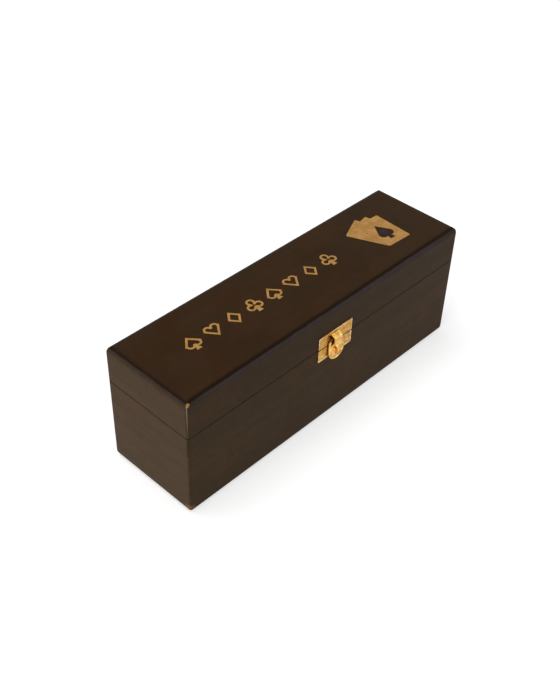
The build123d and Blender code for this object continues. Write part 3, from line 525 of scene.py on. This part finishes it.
CROSS_GRAIN = {
    "base_left_end", "base_right_rail", "lid_left_end", "lid_right_end",
    "drawer_front", "drawer_back", "drawer_divider_left", "drawer_divider_right",
}
MAKE = {  # slot: the function that makes its material for a grain direction
    "wood_dark": lacquered_wood,
    "wood_board": lambda grain: plain_wood(
        "oiled_board", grain, BOARD_DARK, BOARD_LIGHT,
        spacing=0.0065, roughness=0.42, gloss=0.4, detail=worn_rims,
    ),
    "wood_drawer": lambda grain: plain_wood(
        "sanded_wood", grain, (0.300, 0.175, 0.085), (0.520, 0.350, 0.190),
        spacing=0.0080, roughness=0.60, gloss=0.2, fibre=0.3, pores=0.3,
    ),
    "black_inlay": lambda grain: plain_wood(
        "black_wood", grain, (0.020, 0.022, 0.026), (0.030, 0.032, 0.038),
        spacing=0.0030, roughness=0.45, gloss=0.1, fibre=0.4, pores=0.3, detail=brown_rim,
    ),
    "peg_light": lambda grain: plain_wood(
        "waxed_light_wood", grain, (0.520, 0.340, 0.160), (0.740, 0.540, 0.300),
        spacing=0.0022, roughness=0.34, gloss=0.4, fibre=0.3, pores=0.2,
    ),
    "peg_dark": lambda grain: plain_wood(
        "waxed_dark_wood", grain, (0.050, 0.020, 0.012), (0.115, 0.050, 0.030),
        spacing=0.0022, roughness=0.32, gloss=0.4, fibre=0.3, pores=0.3,
    ),
    "brass": lambda grain: brass(
        "stamped_brass", (0.56, 0.300, 0.066), (0.86, 0.560, 0.170),
        roughness=0.22, tarnish=0.60, cloud_scale=300.0, relief=0.4, detail=plate_wear,
    ),
    "brass_inlay": lambda grain: brass(
        "brass_sheet", (0.50, 0.262, 0.064), (0.64, 0.360, 0.108),
        roughness=0.40, tarnish=0.30, cloud_scale=160.0, relief=0.35, detail=sheet_patches,
    ),
    "steel": lambda grain: steel(),
}
made_materials = {}


def material_for(slot, grain="x"):
    """The material of a slot, made once for each grain direction."""
    key = (slot, grain if slot.startswith(("wood", "peg", "black")) else "x")
    if key not in made_materials:
        made_materials[key] = MAKE[slot](grain)
    return made_materials[key]


for name, piece in frame["nodes"].items():
    grain = "y" if name in CROSS_GRAIN else "z" if name.startswith("peg_") and name != "peg_board" else "x"
    piece.data.materials.clear()
    piece.data.materials.append(material_for(SLOT_OF[name], grain))

# ---------------------------------------------------------------- turned pieces


def new_piece(name, points, faces, node, grain, sharp=0.7):
    """A mesh piece that stands for a CAD node: rides with its body and takes its slot and finish. Edges
    that turn by more than sharp, in radians, stay sharp."""
    mesh = bpy.data.meshes.new(name)
    mesh.from_pydata(points, [], faces)
    mesh.shade_smooth()
    mesh.set_sharp_from_angle(angle=sharp)
    mesh.materials.append(material_for(SLOT_OF[node], grain))
    piece = bpy.data.objects.new(name, mesh)
    bpy.context.scene.collection.objects.link(piece)
    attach(piece, frame["nodes"][node]["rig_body"])
    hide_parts(node)
    return piece


def turned(profile, start, axis, sides):
    """A profile of (height, radius) pairs carried round an axis:
    start + height * axis + radius * (cos t * u + sin t * w).
    The first and last pair have no radius, and each of them is one point."""
    profile = np.asarray(profile, float)
    axis = np.asarray(axis, float)
    u = np.array([0.0, 1.0, 0.0])
    w = np.cross(axis, u)
    t = np.linspace(0, 2 * np.pi, sides, endpoint=False)
    around = np.cos(t)[:, None] * u + np.sin(t)[:, None] * w
    rings = start + profile[1:-1, 0, None, None] * axis + profile[1:-1, 1, None, None] * around
    ends = start + profile[[0, -1], :1] * axis
    points = np.concatenate([ends[:1], rings.reshape(-1, 3), ends[1:]])
    row, col = np.meshgrid(np.arange(len(profile) - 3), np.arange(sides), indexing="ij")
    here, beside = 1 + row * sides + col, 1 + row * sides + (col + 1) % sides
    quads = np.stack([here, beside, beside + sides, here + sides], -1).reshape(-1, 4)
    ring = np.arange(sides)
    last = 1 + (len(profile) - 3) * sides
    fans = [np.stack([np.zeros_like(ring), 1 + (ring + 1) % sides, 1 + ring], -1)]
    fans += [np.stack([np.full_like(ring, len(points) - 1), last + ring, last + (ring + 1) % sides], -1)]
    return points, quads.tolist() + np.concatenate(fans).tolist()


def rounded(corners, radius, steps):
    """Profile through its corners, each inner corner rounded by a quadratic curve that starts one radius
    before it, or nearly half a side before it on a short side."""
    corners = np.asarray(corners, float)
    before, corner, after = corners[:-2], corners[1:-1], corners[2:]

    def towards(other):
        gap = other - corner
        size = np.linalg.norm(gap, axis=1)
        return corner + gap * (np.minimum(radius, 0.45 * size) / size)[:, None]

    first, last = towards(before), towards(after)
    t = np.linspace(0, 1, steps)[None, :, None]
    arcs = (1 - t) ** 2 * first[:, None] + 2 * t * (1 - t) * corner[:, None] + t**2 * last[:, None]
    return np.concatenate([corners[:1], arcs.reshape(-1, 2), corners[-1:]])


# Profiles as (height, radius): a peg's from the height of the board, the knob's from the drawer's front
PEG_CORNERS = [
    (-0.0065, 0), (-0.0065, 0.00095), (-0.0060, 0.00145), (0, 0.00145), (0, 0.0023), (0.0012, 0.0023),
    (0.0018, 0.00145), (0.0045, 0.0011), (0.0120, 0.0018), (0.0140, 0.0019), (0.0150, 0.0012), (0.0150, 0),
]
KNOB_CORNERS = [
    (0, 0), (0, 0.0042), (0.0009, 0.0042), (0.0017, 0.0024), (0.0034, 0.0024), (0.0064, 0.0046),
    (0.0070, 0.0050), (0.0098, 0.0050), (0.0112, 0.0041), (0.0120, 0.0024), (0.0120, 0),
]
for number in range(1, 5):
    node = f"peg_{number}"
    low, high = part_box(node)
    foot = np.array([(low.x + high.x) / 2, (low.y + high.y) / 2, BOARD_TOP])
    points, faces = turned(rounded(PEG_CORNERS, radius=0.00045, steps=5), foot, (0, 0, 1), sides=28)
    new_piece(f"turned_peg_{number}", points, faces, node, "z")

points, faces = turned(rounded(KNOB_CORNERS, radius=0.0008, steps=6), KNOB_AXIS, (1, 0, 0), sides=56)
new_piece("turned_knob", points, faces, "drawer_knob", "x")

# ---------------------------------------------------------------- inlaid signs on the lid

TINY = 1e-9


def half_planes(*lines):
    """Convex outline as rows (nx, ny, d): the inside is where nx * x + ny * y is at most d."""
    rows = np.array(lines, float)
    size = np.hypot(rows[:, 0], rows[:, 1])[:, None]
    return rows / size


def tangent_line(point, centre, radius):
    """Half plane whose edge leaves the point and touches a circle on its right."""
    reach = np.subtract(centre, point)
    turn = np.arctan2(reach[1], reach[0]) + np.arccos(-radius / np.hypot(*reach))
    normal = np.array([np.cos(turn), np.sin(turn)])
    return (*normal, normal @ np.array(point))


def mirrored(line):
    """The same half plane on the other side of the upright middle."""
    return (-line[0], line[1], line[2])


def radial_outline(directions, circles, outlines, inset):
    """Reach of a sign in each direction: the farthest crossing of the ray with its circles and convex
    outlines, each drawn in by inset. A circle's crossing is b + sqrt(b^2 - |c|^2 + r^2), with b the centre
    along the ray."""
    reach = np.zeros(len(directions))
    for x, y, radius in circles:
        along = directions @ np.array([x, y])
        inside = along**2 - x * x - y * y + (radius - inset) ** 2
        reach = np.maximum(reach, np.where(inside > 0, along + np.sqrt(np.maximum(inside, 0)), 0))
    for rows in outlines:
        slope = directions @ rows[:, :2].T
        crossing = np.where(slope > TINY, (rows[:, 2] - inset) / np.maximum(slope, TINY), np.inf)
        reach = np.maximum(reach, crossing.min(1))
    return reach


# The signs are in millimetres, each round its own middle, as circles, outlines of the body, and outlines
# of a foot that has no inner edge. The small blocks keep the middle of a sign in one piece.
WIDE, TALL, BAND = 12.6, 14.6, 1.6  # width and height of a sign, width of its line
LOBE = 0.27 * WIDE  # radius of a round part
SPADE_DROP, HEART_RISE, CLUB_DROP = 1.2, 2.6, 1.0  # of the round parts from the middle
BLOCK = 2.9
foot = half_planes((0, -1, TALL / 2), (0, 1, 0.5), (1, 0.30, 0.1), (-1, 0.30, 0.1))

side = tangent_line((0, TALL / 2), (WIDE / 2 - LOBE, -SPADE_DROP), LOBE)
spade_sign = (
    [(WIDE / 2 - LOBE, -SPADE_DROP, LOBE), (LOBE - WIDE / 2, -SPADE_DROP, LOBE)],
    [
        half_planes(side, mirrored(side), (0, -1, SPADE_DROP)),
        half_planes((1, 0, BLOCK), (-1, 0, BLOCK), (0, -1, BLOCK), (0, 1, 3.0)),
    ],
    [foot],
)

side = tangent_line((0, 0.46 * TALL), (WIDE / 2 - LOBE, -HEART_RISE), LOBE)
heart_sign = (
    [(WIDE / 2 - LOBE, HEART_RISE, LOBE), (LOBE - WIDE / 2, HEART_RISE, LOBE)],
    [
        half_planes(side, mirrored(side), (0, -1, HEART_RISE)) * (1, -1, 1),
        half_planes((1, 0, BLOCK), (-1, 0, BLOCK), (0, 1, 3.7), (0, -1, 3.0)),
    ],
    [],
)

steep_x, steep_y = 1 / (0.45 * WIDE), 1 / (0.48 * TALL)
diamond_sign = ([], [half_planes(*[(a * steep_x, b * steep_y, 1) for a in (-1, 1) for b in (-1, 1)])], [])

club_sign = (
    [
        (0, TALL / 2 - LOBE, LOBE),
        (0.54 * WIDE - LOBE, -CLUB_DROP, LOBE),
        (LOBE - 0.54 * WIDE, -CLUB_DROP, LOBE),
    ],
    [half_planes((0, -1, 2.6), (1, 0.9, 3.0), (-1, 0.9, 3.0))],
    [foot],
)

SIGNS = (spade_sign, heart_sign, diamond_sign, club_sign)
SIGN_COUNT, FIRST_SIGN, SIGN_PITCH, ROW_Y = 8, -97.0, 19.1, 1.6
SIGN_MIDDLES = [(FIRST_SIGN + SIGN_PITCH * place, ROW_Y) for place in range(SIGN_COUNT)]
SIGN_STEPS = 180  # points round a sign


def sign_band(sign, middle, section):
    """A band that follows a sign: for each direction round its middle, the section's rows (share, side,
    height) run from the inner outline (share 0) to the outer one (share 1), moved out by side, at a height
    over the lid."""
    circles, body, feet = sign
    t = np.linspace(0, 2 * np.pi, SIGN_STEPS, endpoint=False)
    directions = np.stack([np.sin(t), np.cos(t)], -1)
    inner = radial_outline(directions, circles, body, BAND)
    outer = radial_outline(directions, circles, body + feet, 0.0)
    reach = np.where(section[:, :1] > 0.5, outer, inner) + section[:, 1:2]
    flat = np.array(middle) + reach[..., None] * directions
    height = np.broadcast_to(section[:, 2:3], reach.shape)
    return np.concatenate([flat, 1000 * LID_TOP + height[..., None]], -1) / 1000


def sign_row(name, section, material):
    """All signs of the row in one piece, each a closed band with its rows joined round the middle."""
    section = np.array(section, float)
    bands = [sign_band(SIGNS[i % 4], middle, section) for i, middle in enumerate(SIGN_MIDDLES)]
    grids = np.stack(bands)
    number = np.arange(grids[..., 0].size).reshape(grids.shape[:3])
    ahead = np.roll(number, -1, 2)
    after = np.roll(number, -1, 1)
    both = np.roll(ahead, -1, 1)
    quads = np.stack([number, after, both, ahead], -1).reshape(-1, 4)
    mesh = bpy.data.meshes.new(name)
    mesh.from_pydata(grids.reshape(-1, 3), [], quads.tolist())
    mesh.materials.append(material)
    piece = bpy.data.objects.new(name, mesh)
    bpy.context.scene.collection.objects.link(piece)
    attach(piece, "lid")
    return piece


SIGN_SECTION = [
    (0, 0.0, -0.10), (0, 0.0, 0.012), (0, 0.06, 0.03), (1, -0.06, 0.03), (1, 0.0, 0.012), (1, 0.0, -0.10)
]
JOINT_SECTION = [(0, -0.12, -0.10), (0, -0.12, 0.006), (1, 0.12, 0.006), (1, 0.12, -0.10)]
signs = sign_row("inlaid_signs", SIGN_SECTION, material_for("brass_inlay"))
joint_line = sign_row("sign_joint_line", JOINT_SECTION, joint_dirt())

# ---------------------------------------------------------------- drilled board

PITCH, GROUP_GAP = 0.0066, 0.004  # from hole to hole, and the extra after each group of five
TRACK_MIDDLE, LEAD = 0.006, 0.011  # LEAD: from the track to the start holes and to the game holes
ROWS_Y, GAME_Y = np.array([-0.018, -0.010, 0.010, 0.018]), 0.014
CELL = np.array([PITCH / 2, 0.004])  # half the rectangle of the top that a hole fills
CELL_STEPS = 6  # along each side of a cell
BEVEL = 0.0005
HOLE_RADIUS, HOLE_DEPTH, TIP = 0.0016, 0.008, 0.0008  # TIP: height of the cone at a hole's bottom
HOLE_RINGS = (  # radius, and depth below the top
    (0.00195, 0), (0.00172, 0.00006), (HOLE_RADIUS, 0.00025), (HOLE_RADIUS, HOLE_DEPTH - TIP)
)


def with_height(flat, height):
    """Points on a plane with a height added."""
    return np.concatenate([flat, np.full((*flat.shape[:-1], 1), height)], -1)


def drilled_board():
    """Board with round holes. Each hole fills one cell of the top: rows of rings run from the cell's
    rectangle over a worn rim, down the wall, to a point at the bottom. The rest of the top is a grid on the
    cells' own lines."""
    low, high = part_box("peg_board")
    group = 5 * PITCH + GROUP_GAP
    first = TRACK_MIDDLE - (6 * group - GROUP_GAP - PITCH) / 2
    track = np.array([first + i * group + j * PITCH for i in range(6) for j in range(5)])
    start, last = first - LEAD, track[-1] + LEAD
    holes = [(x, y) for x in (start, *track) for y in ROWS_Y]
    holes = np.array(holes + [(last, -GAME_Y), (last, GAME_Y)])

    split = np.linspace(-1, 1, CELL_STEPS + 1)
    columns = np.unique(np.round(np.array([start, *track, last])[:, None] + CELL[0] * split, 7))
    bands = np.unique(np.round(ROWS_Y[:, None] + CELL[1] * split, 7))
    edge_x, edge_y = high.x - BEVEL, high.y - BEVEL
    grid_x = np.concatenate([[-edge_x], columns, [edge_x]])
    grid_y = np.concatenate([[-edge_y], bands, [edge_y]])
    mid_x, mid_y = (grid_x[1:] + grid_x[:-1]) / 2, (grid_y[1:] + grid_y[:-1]) / 2
    near_x = np.abs(mid_x[:, None, None] - holes[:, 0]) < CELL[0]
    near_y = np.abs(mid_y[None, :, None] - holes[:, 1]) < CELL[1]
    plain = ~(near_x & near_y).any(-1)
    flat = with_height(np.stack(np.meshgrid(grid_x, grid_y, indexing="ij"), -1), BOARD_TOP)
    number = np.arange(len(grid_x) * len(grid_y)).reshape(len(grid_x), len(grid_y))
    quads = np.stack([number[:-1, :-1], number[1:, :-1], number[1:, 1:], number[:-1, 1:]], -1)[plain]

    walk, one = split[:-1], np.ones(CELL_STEPS)
    sides = ((walk, -one), (one, walk), (-walk, one), (-one, -walk))
    cell_rim = np.concatenate([np.stack(pair, -1) for pair in sides])
    angle = np.arctan2(cell_rim[:, 1], cell_rim[:, 0])
    circle = np.stack([np.cos(angle), np.sin(angle)], -1)
    rings = [with_height(cell_rim * CELL, 0.0)]
    rings += [with_height(circle * reach, -drop) for reach, drop in HOLE_RINGS]
    places = with_height(holes, BOARD_TOP)
    bored = places[:, None, None] + np.stack(rings)
    tips = places - (0, 0, HOLE_DEPTH)
    index = number.size + np.arange(bored[..., 0].size).reshape(bored.shape[:3])
    beside = np.roll(index, -1, 2)
    walls = np.stack([index[:, :-1], beside[:, :-1], beside[:, 1:], index[:, 1:]], -1).reshape(-1, 4)
    tip = number.size + index.size + np.arange(len(holes))[:, None]
    ends = np.stack([index[:, -1], beside[:, -1], np.broadcast_to(tip, index[:, -1].shape)], -1).reshape(-1, 3)

    border = np.concatenate([number[:-1, 0], number[-1, :-1], number[:0:-1, -1], number[0, :0:-1]])
    points = np.concatenate([flat.reshape(-1, 3), bored.reshape(-1, 3), tips])
    brink = points[border, :2]
    out = np.sign(brink) * np.isclose(np.abs(brink), (edge_x, edge_y), atol=1e-7) * BEVEL
    shoulder = with_height(brink + out, BOARD_TOP - BEVEL)
    base = with_height(brink + out, low.z)
    skirt = len(points) + np.arange(2 * len(border)).reshape(2, -1)
    levels = np.concatenate([border[None], skirt])
    turned_levels = np.roll(levels, -1, 1)
    edges = np.stack([levels[:-1], levels[1:], turned_levels[1:], turned_levels[:-1]], -1).reshape(-1, 4)
    points = np.concatenate([points, shoulder, base])

    points, same = np.unique(np.round(points, 7), axis=0, return_inverse=True)
    same = same.ravel()
    faces = [same[block].tolist() for block in (quads, walls, ends, edges)]
    return points, sum(faces, []) + [same[skirt[1][::-1]].tolist()], holes


WEAR_REACH, WEAR_FADE, WALL_WEAR = 0.0023, 0.0006, 0.8  # round a hole's middle, and down its wall
points, faces, holes = drilled_board()
board = new_piece("drilled_board", points, faces, "peg_board", "x", 0.5)
rim_wear = board.data.attributes.new("rim_wear", "FLOAT", "POINT")
away = np.linalg.norm(points[:, None, :2] - holes, axis=2).min(1)
worn = np.clip((WEAR_REACH - away) / WEAR_FADE, 0, 1)
rim_wear.data.foreach_set("value", np.where(points[:, 2] > BOARD_TOP - 0.0003, worn, WALL_WEAR))

# ---------------------------------------------------------------- floor, light and camera

WHITE = (1.0, 1.0, 1.0, 1.0)
FLOOR_HALF = 9
FLOOR_GREY = (0.80, 0.80, 0.80, 1.0)
FLOOR_GLOW = (0.6, 3.0, 0.56, 0.92)  # from this distance to that one, from this strength to that one
BACKDROP = (0.30, 0.75, 1.0, 0.45)  # the same, by the height of a ray
ROOM_LIGHT = 0.27


def seen_directly(s):
    """1 for rays from the camera, straight, mirrored or through glass, and 0 for the rays of light."""
    light_path = s.add("ShaderNodeLightPath").outputs
    seen = s.math("MAXIMUM", light_path["Is Camera Ray"], light_path["Is Glossy Ray"])
    return s.math("MAXIMUM", seen, light_path["Is Transmission Ray"])


floor_mesh = bpy.data.meshes.new("studio_floor")
floor_corners = [(x * FLOOR_HALF, y * FLOOR_HALF, 0) for x, y in ((-1, -1), (1, -1), (1, 1), (-1, 1))]
floor_mesh.from_pydata(floor_corners, [], [(0, 1, 2, 3)])
floor = bpy.data.objects.new("studio_floor", floor_mesh)
bpy.context.scene.collection.objects.link(floor)

floor_material = bpy.data.materials.new("studio_floor")
floor_material.use_nodes = True
floor_material.node_tree.nodes.clear()
s = Shading(floor_material.node_tree)
matt = s.add("ShaderNodeBsdfDiffuse", {"Color": FLOOR_GREY}).outputs[0]
far = s.vector("LENGTH", s.add("ShaderNodeTexCoord").outputs["Object"])
glow = s.times(seen_directly(s), s.step(far, *FLOOR_GLOW))
glow = s.add("ShaderNodeEmission", {"Color": WHITE, "Strength": glow}).outputs[0]
both = s.add("ShaderNodeAddShader", {0: matt, 1: glow}).outputs[0]
s.add("ShaderNodeOutputMaterial", {"Surface": both})
floor_mesh.materials.append(floor_material)

world = bpy.data.worlds.new("studio")
bpy.context.scene.world = world
world.use_nodes = True
world.node_tree.nodes.clear()
s = Shading(world.node_tree)
height = s.split(s.add("ShaderNodeTexCoord").outputs["Generated"])["Z"]
backdrop = s.step(height, *BACKDROP)
strength = s.add("ShaderNodeMix", {0: seen_directly(s), 2: ROOM_LIGHT, 3: backdrop}).outputs[0]
back = s.add("ShaderNodeBackground", {"Color": WHITE, "Strength": strength}).outputs[0]
s.add("ShaderNodeOutputWorld", {"Surface": back})


def place_by_axes(thing, right, up, back, place):
    """Turns a lamp or camera to its axes and moves it to its place."""
    rows = [[right[i], up[i], back[i], place[i]] for i in range(3)]
    thing.matrix_world = Matrix(rows + [[0, 0, 0, 1]])
    bpy.context.scene.collection.objects.link(thing)


def soft_lamp(name, place, power, width, height):
    """A rectangular lamp that faces the middle of the box."""
    data = bpy.data.lights.new(name, "AREA")
    data.shape = "RECTANGLE"
    data.size, data.size_y, data.energy = width, height, power
    away = np.array(place) - (0.0, 0.0, HALF[2])
    away = away / np.linalg.norm(away)
    side = np.cross((0.0, 0.0, 1.0), away)
    side = side / np.linalg.norm(side)
    place_by_axes(bpy.data.objects.new(name, data), side, np.cross(away, side), away, place)


soft_lamp("left_lamp", (-1.90, -0.30, 0.42), power=22.5, width=1.1, height=0.7)
soft_lamp("front_lamp", (1.05, -1.22, 1.00), power=4.8, width=1.0, height=0.8)
soft_lamp("top_lamp", (-0.30, 0.50, 2.00), power=14.0, width=1.2, height=1.2)

# The photograph's view: viewing axes and place of the camera
camera_data = bpy.data.cameras.new("camera")
camera_data.sensor_fit = "VERTICAL"
camera_data.sensor_height = 36.0
camera_data.lens = 52.73
camera_data.clip_start = 0.02
camera = bpy.data.objects.new("camera", camera_data)
place_by_axes(
    camera,
    right=(0.69131, -0.72202, 0.02797),
    up=(0.45931, 0.46900, 0.75437),
    back=(-0.55779, -0.50866, 0.65585),
    place=(-0.43468, -0.38414, 0.54145),
)
bpy.context.scene.camera = camera
bpy.context.scene.view_settings.view_transform = "Standard"
